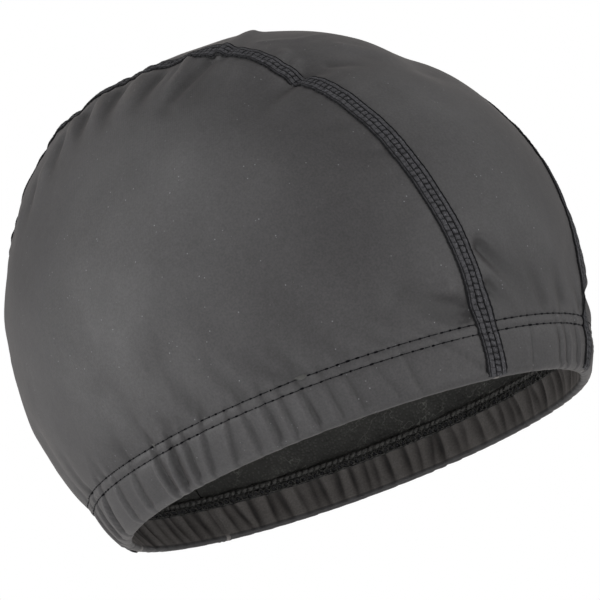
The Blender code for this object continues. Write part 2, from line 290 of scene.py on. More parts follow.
def outward(level, azimuth):
    """The dome's outward direction."""
    step = 0.01
    across = dome(level, azimuth + step) - dome(level, azimuth - step)
    upward = dome(level + step, azimuth) - dome(level - step, azimuth)
    normal = np.cross(across, upward)
    small = np.linalg.norm(normal, axis=-1, keepdims=True) < 1e-12
    return np.where(small, (0.0, 0.0, 1.0), unit(normal))


def along_of(point):
    """Share of the way from the forehead over the crown to the nape."""
    return np.arctan2(np.maximum(point[..., 2], 0.0), point[..., 0]) / math.pi


def share_row(shares, along):
    """A value between shares that stand at equal steps from the forehead to the nape."""
    rows = [(share,) for share in shares]
    return spline(rows, np.asarray(along) * (len(rows) - 1))[..., 0]


def strip_half(along):
    """Half width of the middle strip."""
    return share_row(STRIP_SHARES, along) * STRIP_HALF_WIDTH


def place_over(along, across):
    """Level and azimuth at a share along the strip and a distance from its middle."""
    along, across = np.broadcast_arrays(np.asarray(along, float), np.asarray(across, float))
    reach = np.abs(across)
    zero = 0.0 * reach
    top = solve(lambda level: section(level)[4] < reach, WIDEST_LEVEL + zero, len(SECTIONS) - 1 + zero)

    def place(way):
        level = np.where(way < top, way, 2 * top - way)
        turn = np.arcsin(np.minimum(1.0, reach / np.maximum(section(level)[4], 1e-9)))
        return level, np.where(way < top, turn, math.pi - turn)

    way = solve(lambda way: along_of(dome(*place(way))) > along, zero, 2 * top)
    level, azimuth = place(way)
    return level, np.copysign(azimuth, across)


def place_low(height, across_from_seam, end, side):
    """Level and azimuth at heights near the rim, at a distance outside a seam's middle line."""
    height, distance = np.broadcast_arrays(np.asarray(height, float), np.asarray(across_from_seam, float))
    level = level_at(height)
    _, centre, front, back, half = section(level)
    reach = front if end == FORWARD else back
    along = 0.0 * height
    for _ in range(8):
        turn = np.arcsin((strip_half(along) + distance) / half)
        along = np.arctan2(height, reach * np.cos(turn) + end * centre) / math.pi
    return level, side * (turn if end == FORWARD else math.pi - turn)


def rim_table():
    """Azimuths and their arc lengths along the hem, from the forehead both ways round."""
    azimuth = np.linspace(-math.pi, math.pi, 1441)
    length = lengths_along(dome(level_at(0.5 * HEM_HEIGHT) + 0.0 * azimuth, azimuth))
    return azimuth, length - np.interp(0.0, azimuth, length)


RIM_AZIMUTH, RIM_LENGTH = rim_table()
RIM_ROUND = RIM_LENGTH[-1] - RIM_LENGTH[0]


def hem_length(azimuth):
    """Arc length along the hem, from the forehead."""
    return np.interp((azimuth + math.pi) % (2 * math.pi) - math.pi, RIM_AZIMUTH, RIM_LENGTH)


def once_round(length):
    """An arc length along the hem, brought into the range of RIM_LENGTH."""
    return (length - RIM_LENGTH[0]) % RIM_ROUND + RIM_LENGTH[0]


def hem_azimuth(length):
    """The azimuth at an arc length along the hem."""
    return np.interp(once_round(length), RIM_LENGTH, RIM_AZIMUTH)


def hem_gap(length, places):
    """Signed distance along the hem from places, the short way round."""
    return (length - places + 0.5 * RIM_ROUND) % RIM_ROUND - 0.5 * RIM_ROUND


def soft_noise(point, size, seed):
    """Smooth noise from -1 to 1 in bumps of about the given size."""
    cells = 24
    values = np.random.default_rng(seed).uniform(-1, 1, (cells, cells, cells))
    place = point / size + 100.0
    cell = np.floor(place).astype(int)
    share = place - cell
    share = share * share * (3 - 2 * share)
    total = 0.0
    for corner in itertools.product((0, 1), repeat=3):
        weight = np.prod(np.where(corner, share, 1 - share), axis=-1)
        index = (cell + corner) % cells
        total = total + weight * values[index[..., 0], index[..., 1], index[..., 2]]
    return total


def fold_directions(folds, tapered):
    """Start, run, width, height and taper of each fold, as directions from the folds' middle."""
    lines = []
    for azimuth_a, height_a, azimuth_b, height_b, width, depth, *single in folds:
        taper = FINE_TAPER if tapered and max(height_a, height_b) < TAPER_BELOW else 0.0
        for sign in (1,) if single else (1, -1):
            ends = []
            for azimuth, height in ((azimuth_a, height_a), (azimuth_b, height_b)):
                place = dome(level_at(height * CAP_HEIGHT), np.array(sign * math.radians(azimuth)))
                ends.append(unit(place - FOLD_MIDDLE))
            lines.append((ends[0], ends[1] - ends[0], width * FOLD_WIDTH, depth * FOLD_DEPTH, taper))
    return lines


FOLD_LINES = fold_directions(FOLDS, False)
FINE_LINES = fold_directions(FINE_FOLDS, True)


def fold_relief(point, lines, fade=0.0):
    """Height of the folds over the smooth dome; they widen and fade from their start by the given share."""
    radius = np.linalg.norm(point - FOLD_MIDDLE, axis=-1)
    toward = unit(point - FOLD_MIDDLE)
    relief = np.zeros(point.shape[:-1])
    for start, run, width, depth, taper in lines:
        share = np.clip((toward - start) @ run / (run @ run), 0.0, 1.0)
        gap = np.linalg.norm(toward - unit(start + share[..., None] * run), axis=-1) * radius
        strength = (1 + taper * (0.5 - share)) * (1 - fade * share**2)
        relief += depth * strength * bell(gap, width * (1 + fade * share))
    return relief


def seam_ends():
    """Shares along the seam at the hem line, front and back."""
    places = [place_low(HEM_HEIGHT, 0.0, end, 1) for end in (FORWARD, BACKWARD)]
    return [float(along_of(dome(*place))) for place in places]


SEAM_START, SEAM_STOP = seam_ends()


def pucker_relief(point):
    """Puckers across the seams, broad ones as in the solids and narrow ones close to the thread."""
    along = along_of(point)
    strength = share_row(PUCKER_SHARES, along)
    gap = np.abs(np.abs(point[..., 1]) - strip_half(along))
    way = (along - SEAM_START) / (SEAM_STOP - SEAM_START) * PUCKER_COUNT
    broad = 0.35 * PUCKER_DEPTH * np.cos(math.pi * way) * np.exp(-gap / PUCKER_REACH)
    drift = way + 0.35 * np.sin(1.7 * way) + 0.2 * np.sign(point[..., 1])
    narrow = 0.00024 * np.sin(math.pi * 2.6 * drift) * np.exp(-gap / 0.006)
    return strength * (broad + narrow) + 0.30 * narrow


def waist_relief(point):
    """The pinch of the cloth where the hem is stitched."""
    line = HEM_HEIGHT - 0.5 * BAND_HEIGHT
    return -WAIST_DEPTH * bell(point[..., 2] - line, WAIST_HEIGHT)


def make_gathers():
    """Place, width, lean, depth and skew of each valley of the gathered, turned-in ply."""
    draw = np.random.default_rng(11)
    count = int(round(RIM_ROUND / GATHER_PITCH))
    place = RIM_LENGTH[0] + RIM_ROUND * (np.arange(count) + draw.uniform(-0.28, 0.28, count)) / count
    width = draw.uniform(0.0009, 0.0015, count)
    azimuth = hem_azimuth(place)
    lean = np.clip(0.45 + 0.85 * np.cos(azimuth), 0.0, 0.65) * np.sign(azimuth)
    lean += draw.normal(0.0, 0.10, count)
    depth = draw.uniform(0.60, 1.20, count)
    skew = np.where(draw.uniform(size=count) < 0.65, 1.0, -1.0)
    return place, width, lean, depth, skew


def make_pleats():
    """Arc length at the stitches and at the rim, depth, width and way to the forehead of each pleat."""
    rows = []
    for high, low, depth, width, *single in PLEATS:
        for sign in (1,) if single else (1, -1):
            top, bottom = (float(hem_length(math.radians(sign * azimuth))) for azimuth in (high, low))
            rows.append((top, bottom, depth, width / 1000, 1.0 if sign * high < 0 else -1.0))
    return rows


GATHERS = make_gathers()
OUTER_PLEATS = make_pleats()


def inner_relief(length, height):
    """Gathers of the turned-in ply: sharp, lopsided valleys, held flatter by the stitches above."""
    total = np.zeros(np.broadcast(length, height).shape)
    for place, width, lean, depth, skew in zip(*GATHERS):
        gap = skew * hem_gap(length, place + lean * (height - 0.01))
        reach = np.where(gap > 0, 1.5 * width, 0.7 * width)
        total += depth * np.exp(-((np.abs(gap) / reach) ** 1.6))
    fade = np.interp(height, (0.0, 0.003, 0.007, 0.012, HEM_HEIGHT), (0.2, 0.5, 1.0, 0.9, 0.3))
    return GATHER_DEPTH * fade * (0.36 - total)


def outer_relief(length, height):
    """Pleats of the outer ply below the stitches: a sharp step, then a gentle slope to the forehead."""
    total = np.zeros(np.broadcast(length, height).shape)
    share = np.clip(height / PLEAT_TOP, 0.0, 1.7)
    for top, bottom, depth, width, forward in OUTER_PLEATS:
        gap = forward * hem_gap(length, bottom + (top - bottom) * share)
        reach = np.where(gap < 0, 0.38 * width, 1.8 * width)
        total += depth * np.exp(-((np.abs(gap) / reach) ** 1.3))
        total -= 0.35 * depth * bell(gap + 1.5 * width, width)
    fade = np.interp(height, (0.0, 0.002, 0.009, 0.0125, 0.0165, 0.022), (0.4, 0.9, 0.9, 0.5, 0.35, 0.0))
    return -PLEAT_DEPTH * fade * total


def stitch_relief(length, height):
    """The grooves and needle pits of the two rows of hem stitching, and the puff between them."""
    relief = 0.00006 * bell(height - sum(STITCH_HEIGHTS) / 2, 0.0008)
    pit = (0.5 + 0.5 * np.cos(2 * math.pi * length / STITCH_PITCH)) ** 2
    for line in STITCH_HEIGHTS:
        relief -= bell(height - line, 0.0005) * (0.00030 + 0.00012 * pit)
    return relief


def fine_relief(azimuth, point):
    """Height of the narrow creases, puckers and pleats, by which the cloth's colour also gets painted shade
    in their hollows and a painted highlight on their ridges.
    """
    height, length = point[..., 2], hem_length(azimuth)
    relief = fold_relief(point, FINE_LINES, FINE_FADE) + pucker_relief(point)
    relief += outer_relief(length, height) + stitch_relief(length, height)
    relief += 0.00013 * soft_noise(point, 0.009, 2) + 0.00020 * soft_noise(point, 0.017, 4)
    return relief


def skin_relief(azimuth, point):
    """Height of everything that shapes the outer ply over the smooth dome."""
    relief = fine_relief(azimuth, point) + fold_relief(point, FOLD_LINES) + waist_relief(point)
    relief += BULGE_DEPTH * bell(point[..., 2] - BULGE_HEIGHT, BULGE_REACH)
    return relief + 0.00035 * soft_noise(point, 0.034, 1)


def skin(level, azimuth, lift=0.0):
    """Points of the cap's outer face, or lift above it, with the dome's outward directions."""
    point = dome(level, azimuth)
    normal = outward(level, azimuth)
    relief = skin_relief(azimuth, point) + lift
    return point + normal * relief[..., None], normal


def inner_depth(height):
    """Depth of the turned-in ply behind the outer face."""
    return HEM_DEPTH + (HEM_TOP_DEPTH - HEM_DEPTH) * height / HEM_HEIGHT


def hem_profile():
    """Height, depth and turn of the hem's rows: down the inside, round the rim and up the outside."""
    rows = []
    bottom = HEM_DEPTH / 2
    for height in np.linspace(HEM_HEIGHT, bottom, 13):
        rows.append((height, inner_depth(height), 180.0))
    for turn in (150.0, 120.0, 90.0, 60.0, 30.0):
        angle = math.radians(turn)
        rows.append((bottom * (1 - math.sin(angle)), bottom * (1 - math.cos(angle)), turn))
    outer = (0.0020, 0.0036, 0.0054, 0.0072, 0.0090, 0.0106, 0.0117, 0.0123, 0.0129, 0.0135)
    outer += (0.0140, 0.01435, 0.0147, 0.0153, 0.0159, 0.0165, 0.0169, HEM_HEIGHT)
    rows += [(height, 0.0, 0.0) for height in outer]
    return rows


def hem_point(level, azimuth, depth, turn, lift=0.0):
    """Points of the hem at a depth inside the outer face, and their normals."""
    if turn == 0.0:
        return skin(level, azimuth, lift)
    normal = outward(level, azimuth)
    flat = unit(normal * (1, 1, 0))
    point = dome(level, azimuth)
    height, length = point[..., 2], hem_length(azimuth)
    point = point + normal * waist_relief(point)[..., None] - flat * depth
    angle = math.radians(turn)
    facing = flat * math.cos(angle) + np.array((0, 0, -1.0)) * math.sin(angle)
    share = (1 - math.cos(angle)) / 2
    relief = share * inner_relief(length, height) + (1 - share) * (outer_relief(length, height) + 0.0001)
    relief = relief * (SCALLOP if 20 < turn < 160 else 1.0) + lift
    return point + facing * relief[..., None], facing


# Meshes

MADE = []


def place_object(name, data):
    """A new object in the scene."""
    thing = bpy.data.objects.new(name, data)
    bpy.context.scene.collection.objects.link(thing)
    return thing


def add_mesh(name, points, faces, materials, marks, kinds=None, uv=None):
    """A mesh object from points measured from the middle of the rim."""
    mesh = bpy.data.meshes.new(name)
    mesh.from_pydata((points.reshape(-1, 3) + RIM_ORIGIN).tolist(), [], faces)
    for material in materials:
        mesh.materials.append(material)
    if kinds is not None:
        mesh.polygons.foreach_set("material_index", np.asarray(kinds, np.int32))
    if uv is not None:
        layer = mesh.uv_layers.new(name="cloth")
        corners = np.empty(len(mesh.loops), np.int32)
        mesh.loops.foreach_get("vertex_index", corners)
        layer.data.foreach_set("uv", np.asarray(uv, np.float32)[corners].ravel())
    layer = mesh.attributes.new("relief_shade", "FLOAT", "POINT")
    layer.data.foreach_set("value", np.asarray(marks, np.float32))
    mesh.shade_smooth()
    mesh.update()
    MADE.append(place_object(name, mesh))
    return MADE[-1]


def grid_faces(grid, flipped=False):
    """Four-cornered faces between the rows of a grid of points, turned round where flipped."""
    index = np.arange(grid[..., 0].size).reshape(grid.shape[:2])
    index = index[:, ::-1] if flipped else index
    corners = (index[:-1, :-1], index[:-1, 1:], index[1:, 1:], index[1:, :-1])
    return np.stack(corners, -1).reshape(-1, 4).tolist()


def tubes(paths, normals, radii, sides):
    """Points and faces of closed round threads along paths of equal count."""
    radii = np.broadcast_to(radii, paths.shape[:2])
    tangent = unit(np.gradient(paths, axis=1))
    side = unit(np.cross(tangent, normals))
    rise = np.cross(side, tangent)
    angle = 2 * math.pi * np.arange(sides) / sides
    ring = side[:, :, None] * np.cos(angle)[:, None] + rise[:, :, None] * np.sin(angle)[:, None]
    points = paths[:, :, None] + radii[:, :, None, None] * ring
    index = np.arange(points[..., 0].size).reshape(points.shape[:3])
    after = np.roll(index, -1, axis=2)
    quads = np.stack([index[:, :-1], after[:, :-1], after[:, 1:], index[:, 1:]], -1).reshape(-1, 4)
    faces = quads.tolist() + index[:, 0, ::-1].tolist() + index[:, -1].tolist()
    return points, faces


class Builder:
    """Collects points and faces of one mesh with a material index for each face."""

    def __init__(self):
        self.points, self.faces, self.kinds, self.marks, self.count = [], [], [], [], 0

    def add(self, points, faces, kind, marks=0.5):
        points = points.reshape(-1, 3)
        self.points.append(points)
        self.faces += [[corner + self.count for corner in face] for face in faces]
        self.kinds += [kind] * len(faces)
        self.marks.append(np.broadcast_to(np.ravel(marks), len(points)))
        self.count += len(points)

    def add_threads(self, paths, normals, radii, sides, kind):
        self.add(*tubes(paths, normals, radii, sides), kind)

    def make(self, name, materials):
        points, marks = np.vstack(self.points), np.concatenate(self.marks)
        return add_mesh(name, points, self.faces, materials, marks, self.kinds)


def smooth(values, radius):
    """Values averaged along the first axis over a bell of the given radius in rows."""
    reach = int(3 * radius)
    weights = bell(np.arange(-reach, reach + 1), radius)
    weights /= weights.sum()
    padded = np.concatenate([np.repeat(values[:1], reach, 0), values, np.repeat(values[-1:], reach, 0)])
    return sum(weight * padded[k : k + len(values)] for k, weight in enumerate(weights))


# Materials

class Look:
    """A material in the making, with its nodes, its shader and the object's own coordinates."""

    def __init__(self, name, viewport, **values):
        self.material = bpy.data.materials.new(name)
        self.material.use_nodes = True
        self.material.diffuse_color = (*viewport, 1)
        self.tree = self.material.node_tree
        self.shader = self.tree.nodes["Principled BSDF"]
        for socket, value in values.items():
            self.shader.inputs[socket.replace("_", " ")].default_value = value
        self.place = self.node("TexCoord", "Object")

    def node(self, kind, outlet, inlets=(), **settings):
        """An outlet of a new node; inlets are pairs of a socket and its value or source."""
        made = self.tree.nodes.new("ShaderNode" + kind)
        for key, value in settings.items():
            setattr(made, key, value)
        for key, value in inlets:
            if isinstance(value, bpy.types.NodeSocket):
                self.tree.links.new(value, made.inputs[key])
            else:
                made.inputs[key].default_value = value
        return made.outputs[outlet]

    def noise(self, scale, detail=2.0, roughness=0.5):
        inlets = (("Vector", self.place), ("Scale", scale), ("Detail", detail), ("Roughness", roughness))
        return self.node("TexNoise", "Fac", inlets)

    def dots(self, scale):
        """Distance from scattered dots."""
        return self.node("TexVoronoi", "Distance", (("Vector", self.place), ("Scale", scale)))

    def relief_shade(self):
        """The relief marks of the mesh, by which the colour gets painted shade where they are low and painted
        light where they are high.
        """
        return self.node("Attribute", "Fac", attribute_name="relief_shade")

    def ramp(self, source, *stops):
        """A colour ramp on a value; a stop's colour may be one number for a grey."""
        made = self.tree.nodes.new("ShaderNodeValToRGB")
        elements = made.color_ramp.elements
        while len(elements) < len(stops):
            elements.new(0.5)
        for element, (position, color) in zip(elements, stops):
            element.position = position
            element.color = (*(color if isinstance(color, tuple) else (color,) * 3), 1)
        self.tree.links.new(source, made.inputs["Fac"])
        return made.outputs["Color"]

    def mix(self, blend, factor, first, second):
        second = (*second, 1) if isinstance(second, tuple) else second
        inlets = ((0, factor), (6, first), (7, second))
        return self.node("Mix", 2, inlets, data_type="RGBA", blend_type=blend)

    def times(self, first, second):
        return self.mix("MULTIPLY", 1.0, first, second)

    def math(self, operation, first, *second):
        return self.node("Math", 0, tuple(enumerate((first, *second))), operation=operation)

    def bump(self, height, distance, strength, normal=None):
        inlets = (("Height", height), ("Distance", distance), ("Strength", strength))
        inlets += (("Normal", normal),) if normal else ()
        return self.node("Bump", "Normal", inlets)

    def finish(self, **sources):
        """Links colours, values and normals to the shader."""
        for socket, source in sources.items():
            self.tree.links.new(source, self.shader.inputs[socket.replace("_", " ")])
        return self.material


def knit_height(look, wales, courses):
    """The fine ribs of the knit, from the cloth's own coordinates in metres."""
    uv = look.node("UVMap", "UV", uv_map="cloth")
    waves = []
    for axis, count, weight in ((0, wales, 0.6), (1, courses, 0.4)):
        way = look.math("MULTIPLY", look.node("SeparateXYZ", axis, ((0, uv),)), 2 * math.pi * count)
        waves.append(look.math("MULTIPLY", look.math("SINE", way), weight))
    return look.math("ADD", *waves)


def make_face_cloth():
    """The coated outer side of the stretch cloth."""
    sheen = dict(Sheen_Weight=0.12, Sheen_Roughness=0.35, Sheen_Tint=(1.0, 0.90, 0.84, 1))
    look = Look("cap_cloth_face", (0.075, 0.076, 0.079), Specular_IOR_Level=0.50, **sheen)
    cloudy = look.noise(14.0, 3.0)
    base = look.ramp(cloudy, (0.30, (0.0530, 0.0512, 0.0530)), (0.70, (0.0592, 0.0566, 0.0580)))
    for scale, detail, low, high in ((320.0, 3.0, 0.95, 1.05), (1500.0, 2.0, 0.82, 1.18)):
        base = look.times(base, look.ramp(look.noise(scale, detail), (0.3, low), (0.7, high)))
    # The marks run from 0 to 1 on the outer ply, giving painted shade in the folds and a painted highlight on
    # the crests, and from 1 to 2 on the turned-in ply, which gets painted light, warm in tint and brightest
    # on the ridges of its gathers
    outer = ((0.05, 0.70), (0.25, 1.0), (0.43, 1.14))
    inner = ((0.58, (1.6, 1.55, 1.45)), (0.75, (3.2, 3.1, 2.9)), (0.93, (4.6, 4.5, 4.2)))
    base = look.times(base, look.ramp(look.math("MULTIPLY", look.relief_shade(), 0.5), *outer, *inner))
    dot = look.ramp(look.dots(430.0), (0.055, 1), (0.12, 0))
    seldom = look.ramp(look.noise(140.0, 1.0), (0.53, 0), (0.60, 1))
    base = look.mix("MIX", look.times(dot, seldom), base, (0.20, 0.20, 0.21))
    rough = look.ramp(look.noise(60.0, 3.0), (0.3, 0.42), (0.7, 0.54))
    knit = look.bump(knit_height(look, 2400.0, 1900.0), 0.00002, 0.3)
    rub = look.bump(look.noise(420.0, 3.0), 0.00016, 0.35, knit)
    return look.finish(Base_Color=base, Roughness=rough, Normal=rub)


def make_back_cloth():
    """The uncoated knitted side that faces the head."""
    look = Look("cap_cloth_back", (0.03, 0.03, 0.028), Roughness=0.75, Sheen_Weight=0.06, Sheen_Roughness=0.5)
    base = look.ramp(look.noise(45.0, 4.0), (0.3, (0.078, 0.078, 0.074)), (0.7, (0.130, 0.128, 0.120)))
    loops = look.dots(900.0)
    base = look.times(base, look.ramp(loops, (0.10, 1.35), (0.45, 0.80)))
    veins = look.ramp(look.noise(210.0, 2.0), (0.485, 0), (0.50, 1), (0.515, 0))
    patchy = look.ramp(look.noise(90.0, 1.0), (0.52, 0), (0.60, 1))
    base = look.mix("MIX", look.times(veins, patchy), base, (0.26, 0.26, 0.24))
    return look.finish(Base_Color=base, Normal=look.bump(loops, 0.0003, 0.6))


def make_thread(name, dark, light):
    """Spun sewing thread, darker and paler along its fibres, with painted glints on the brightest fibres."""
    look = Look(name, light, Roughness=0.65, Specular_IOR_Level=0.25, Sheen_Weight=0.03)
    fibre = look.noise(2500.0, 4.0, 0.7)
    # The top stop, four times the pale colour, paints glints on the fibres
    base = look.ramp(fibre, (0.35, dark), (0.62, light), (0.74, tuple(min(1, 4 * c) for c in light)))
    return look.finish(Base_Color=base, Normal=look.bump(fibre, 0.0002, 0.5))


def make_seam_body(name, middle, light):
    """The thread-covered body of the seams: black between the cells, where the black needle thread runs and
    painted shade falls in the low places, paler on the raised cells, with pale bluish painted glints on them.
    """
    look = Look(name, (0.022, 0.022, 0.028), Roughness=0.55, Specular_IOR_Level=0.35)
    mark = look.relief_shade()
    # Black at the low lines and gaps of the seam: partly the black needle thread, partly painted shade
    base = look.ramp(mark, (0.10, (0.003, 0.003, 0.004)), (0.50, middle), (0.90, light))
    fibre = look.noise(1900.0, 3.0, 0.7)
    base = look.times(base, look.ramp(fibre, (0.35, 0.55), (0.65, 1.45)))
    glint = look.ramp(look.noise(1300.0, 2.0, 0.6), (0.63, 0), (0.69, 1))
    base = look.mix("MIX", look.times(glint, mark), base, (0.13, 0.13, 0.145))
    return look.finish(Base_Color=base, Normal=look.bump(fibre, 0.0003, 0.7))


def make_needle_hole_shade():
    """The black shade of the needle holes."""
    look = Look("seam_thread_hole_shade", (0.005, 0.005, 0.006), Roughness=0.9, Specular_IOR_Level=0.1)
    return look.finish(
        Base_Color=look.ramp(look.noise(1200.0), (0.3, (0.001, 0.001, 0.002)), (0.7, (0.007, 0.007, 0.009)))
    )


# Panels

def relief_shade_mark(relief):
    """Relief turned into a mark from 0, deep in a fold, to 1, on a crest, by which the cloth's colour gets
    painted shade in the folds and a painted highlight on the crests.
    """
    return np.clip(0.5 + relief / 0.0017, 0.0, 1.0)


def skin_row(level, azimuth):
    """Points and marks of painted shade and highlight of a row of the outer ply."""
    return skin(level, azimuth)[0], relief_shade_mark(fine_relief(azimuth, dome(level, azimuth)))


def hem_row(level, azimuth, height, depth, turn):
    """Points and marks of a row of the hem: paler along the outside of the rim, with painted shade on the
    rim's inner half, and 1 more on the turned-in ply for its painted light.
    """
    if turn == 0.0:
        return skin_row(level, azimuth)
    relief = (inner_relief if turn > 90 else outer_relief)(hem_length(azimuth), height + 0.0 * azimuth)
    # Painted shade on the inner half of the rim's lip (-0.35); the turned-in ply's marks of 1 to 2 give it
    # painted light
    tint = 0.15 if turn < 70 else -0.35 if turn < 180 else 0.0
    marks = np.clip(relief_shade_mark(relief) + tint, 0.0, 1.0) + (1.0 if turn == 180 else 0.0)
    return hem_point(level, azimuth, depth, turn)[0], marks


def hem_rows(places_at):
    """The hem's rows of a panel; places_at gives the levels and azimuths at a height."""
    return [hem_row(*places_at(height), height, depth, turn) for height, depth, turn in hem_profile()]


def make_side_panel(name, side, materials):
    """A D-shaped panel: its turned hem, then rows up to the seam."""
    spots = np.linspace(0.0, 1.0, 421)

    def places_at(height):
        level, first = place_low(height, PANEL_GAP / 2, FORWARD, side)
        _, last = place_low(height, PANEL_GAP / 2, BACKWARD, side)
        return level + 0.0 * spots, first + (last - first) * spots

    low = places_at(HEM_HEIGHT)
    along = SEAM_START + (SEAM_STOP - SEAM_START) * spots
    high = place_over(along, side * (strip_half(along) + PANEL_GAP / 2))
    for upper, lower in zip(high, low):
        upper[[0, -1]] = lower[[0, -1]]
    found = hem_rows(places_at)
    for share in np.linspace(0.0, 1.0, 78)[1:]:
        found.append(skin_row(*(lower + (upper - lower) * share for upper, lower in zip(high, low))))
    return finish_panel(name, found, side < 0, materials)


def make_middle_panel(name, materials):
    """The strip: a turned hem at the forehead, rows over the crown, and a turned hem at the nape."""
    spots = np.linspace(-1, 1, 91)

    def places_at(height, end):
        level, left = place_low(height, -PANEL_GAP / 2, end, 1)
        turn = np.arcsin(spots * np.sin(left))
        if end == BACKWARD:
            turn = np.copysign(math.pi, turn) - turn
        return level + 0.0 * turn, turn

    found = hem_rows(lambda height: places_at(height, FORWARD))
    for along in np.linspace(SEAM_START, SEAM_STOP, 271)[1:-1]:
        found.append(skin_row(*place_over(along, spots * (strip_half(along) - PANEL_GAP / 2))))
    found += hem_rows(lambda height: places_at(height, BACKWARD))[::-1]
    return finish_panel(name, found, False, materials)


def finish_panel(name, found, flipped, materials):
    """Turns rows of points and marks into a panel of real thickness with cloth coordinates."""
    rows, marks = zip(*found)
    grid = np.array(rows)
    rise = lengths_along(grid[:, grid.shape[1] // 2])
    run = lengths_along(grid[len(hem_profile()) - 1])
    uv = np.stack(np.broadcast_arrays(run[None, :], rise[:, None]), -1).reshape(-1, 2)
    panel = add_mesh(name, grid, grid_faces(grid, flipped), materials, np.array(marks).ravel(), uv=uv)
    wall = panel.modifiers.new("wall", "SOLIDIFY")
    wall.thickness = 0.9 * CLOTH
    wall.offset = -1
    wall.material_offset = 1
    wall.material_offset_rim = 0
    return panel


# Threads

def seam_frame(side):
    """Centre points, outward directions, directions across and lengths along a seam, from rim to rim."""
    offsets = (-SEAM_WIDTH / 2, 0.0, SEAM_WIDTH / 2)

    def hem(end):
        return [
            [hem_point(*place_low(height, offset, end, side), depth, turn)[0] for offset in offsets]
            for height, depth, turn in hem_profile()
            if turn <= 70
        ]

    along = np.linspace(SEAM_START, SEAM_STOP, 601)[2:-2]
    over = [skin(*place_over(along, side * (strip_half(along) + offset)))[0] for offset in offsets]
    lines = np.array(hem(FORWARD) + list(np.stack(over, 1)) + hem(BACKWARD)[::-1])
    length = lengths_along(lines[:, 1])
    steps = np.arange(0.0, length[-1], 0.00025)
    inner, centre, outer = (smooth(points_at(steps, length, lines[:, k]), 4.0) for k in range(3))
    across = unit(outer - inner)
    tangent = unit(np.gradient(centre, axis=0))
    return centre, unit(np.cross(across, tangent)) * side, across, steps


def on_seam(rows, way, across, lift):
    """Points at a distance along a seam, a distance across it and a lift above it."""
    centre, normal, sideways = (points_at(way, rows[3], values) for values in rows[:3])
    sag = across**2 / (2 * 0.085)
    return centre + sideways * across[..., None] + normal * (lift - sag)[..., None], unit(normal)


# Lines of the flat seam from the strip's side to the side panel's, in metres from its middle, and how
# strongly the threads across part each column between two lines into cells
SEAM_LINES = (-0.0031, -0.0014, 0.0006, 0.0025, 0.0031)
SEAM_CELLS = (0.45, 1.0, 0.60, 0.2)
STRIP_EDGE, FIRST_LINE, SECOND_LINE, THIRD_LINE, SIDE_EDGE = SEAM_LINES
CELL_LEAN = 0.33

# Columns of the seam's mesh: close ones about the first four lines, and some between and beyond
SEAM_COLUMNS = [line + step for line in SEAM_LINES[:4] for step in (-0.0003, -0.00015, 0.0, 0.00015, 0.0003)]
SEAM_COLUMNS += [0.0031, 0.0033, 0.0035, -0.0035, -0.00225, -0.0004, 0.0015]

SEAM_THREADS = (
    # first and last place across, run, shift and spread of the start, rise, radius, points, bow
    (STRIP_EDGE, STRIP_EDGE, 1.02 * SEAM_PITCH, 0.0, 0.00012, 0.00012, 0.00027, 5, -0.00020),
    (FIRST_LINE, FIRST_LINE, 0.90 * SEAM_PITCH, 0.0, 0.00012, 0.00012, 0.00025, 5, -0.00004),
    (SECOND_LINE, SECOND_LINE, 0.80 * SEAM_PITCH, 0.0, 0.00012, 0.00012, 0.00021, 5, 0.00004),
    (THIRD_LINE, THIRD_LINE, 0.80 * SEAM_PITCH, 0.0, 0.00012, 0.00012, 0.00013, 5, 0.00004),
    (SIDE_EDGE, SIDE_EDGE, 1.02 * SEAM_PITCH, 0.0, 0.00012, 0.00012, 0.00025, 5, 0.00020),
    (SECOND_LINE, FIRST_LINE, -CELL_LEAN * SEAM_PITCH, 0.0, 0.00016, 0.00004, 0.00013, 5, 0.0),
    (SIDE_EDGE, SECOND_LINE, -CELL_LEAN * SEAM_PITCH, 0.0, 0.00016, 0.00004, 0.00007, 5, 0.0),
    (FIRST_LINE, FIRST_LINE, 0.0004, -0.0002, 0.00005, 0.00014, 0.00036, 3, 0.0),
    (SECOND_LINE, SECOND_LINE, 0.0004, -0.0002, 0.00005, 0.00014, 0.00036, 3, 0.0),
    (STRIP_EDGE, STRIP_EDGE - 0.00050, 0.0006, 0.0, 0.00014, 0.00003, 0.00013, 3, 0.0),
    (SIDE_EDGE, SIDE_EDGE + 0.00045, 0.0006, 0.0, 0.00014, 0.00003, 0.00013, 3, 0.0),
)


def seam_puff(way, across):
    """How far the quilted cells of the seam rise, from 0 at the lines to 1."""
    puff = np.zeros(np.broadcast(way, across).shape)
    for low, high, part in zip(SEAM_LINES, SEAM_LINES[1:], SEAM_CELLS):
        share = (across - low) / (high - low)
        edge = np.clip(np.minimum(across - low, high - across) / 0.00028, 0, 1)
        beat = np.abs(np.sin(math.pi * (way / SEAM_PITCH + CELL_LEAN * (1 - share))))
        cell = 1 - part * (1 - np.clip(beat / 0.5, 0, 1))
        puff = np.where((share > 0) & (share < 1), edge * cell, puff)
    return puff


def seam_lift(way, across):
    """Height of the quilted seam: cells between the lines, pits at the needle holes."""
    lift = 0.00005 + 0.00042 * (1 - (np.abs(across) / 0.0037) ** 4) + 0.00020 * seam_puff(way, across)
    pit = 0.5 + 0.5 * np.cos(2 * math.pi * way / SEAM_PITCH)
    for line, depth in ((FIRST_LINE, 0.00016), (SECOND_LINE, 0.00034)):
        lift = lift - bell(across - line, 0.00028) * (0.00010 + depth * pit)
    return lift


def ply_cover(side, end):
    """A narrow run of cloth over the join of the turned-in ply, from the raw edge to the rim."""
    across = ((-0.0011, -0.0002), (-0.0005, 0.00012), (0.0005, 0.00012), (0.0011, -0.0002))
    grid = np.array([
        [hem_point(*place_low(height, offset, end, side), depth, turn, lift)[0] for offset, lift in across]
        for height, depth, turn in hem_profile()
        if turn >= 50
    ])
    return grid, grid_faces(grid, side * end < 0)


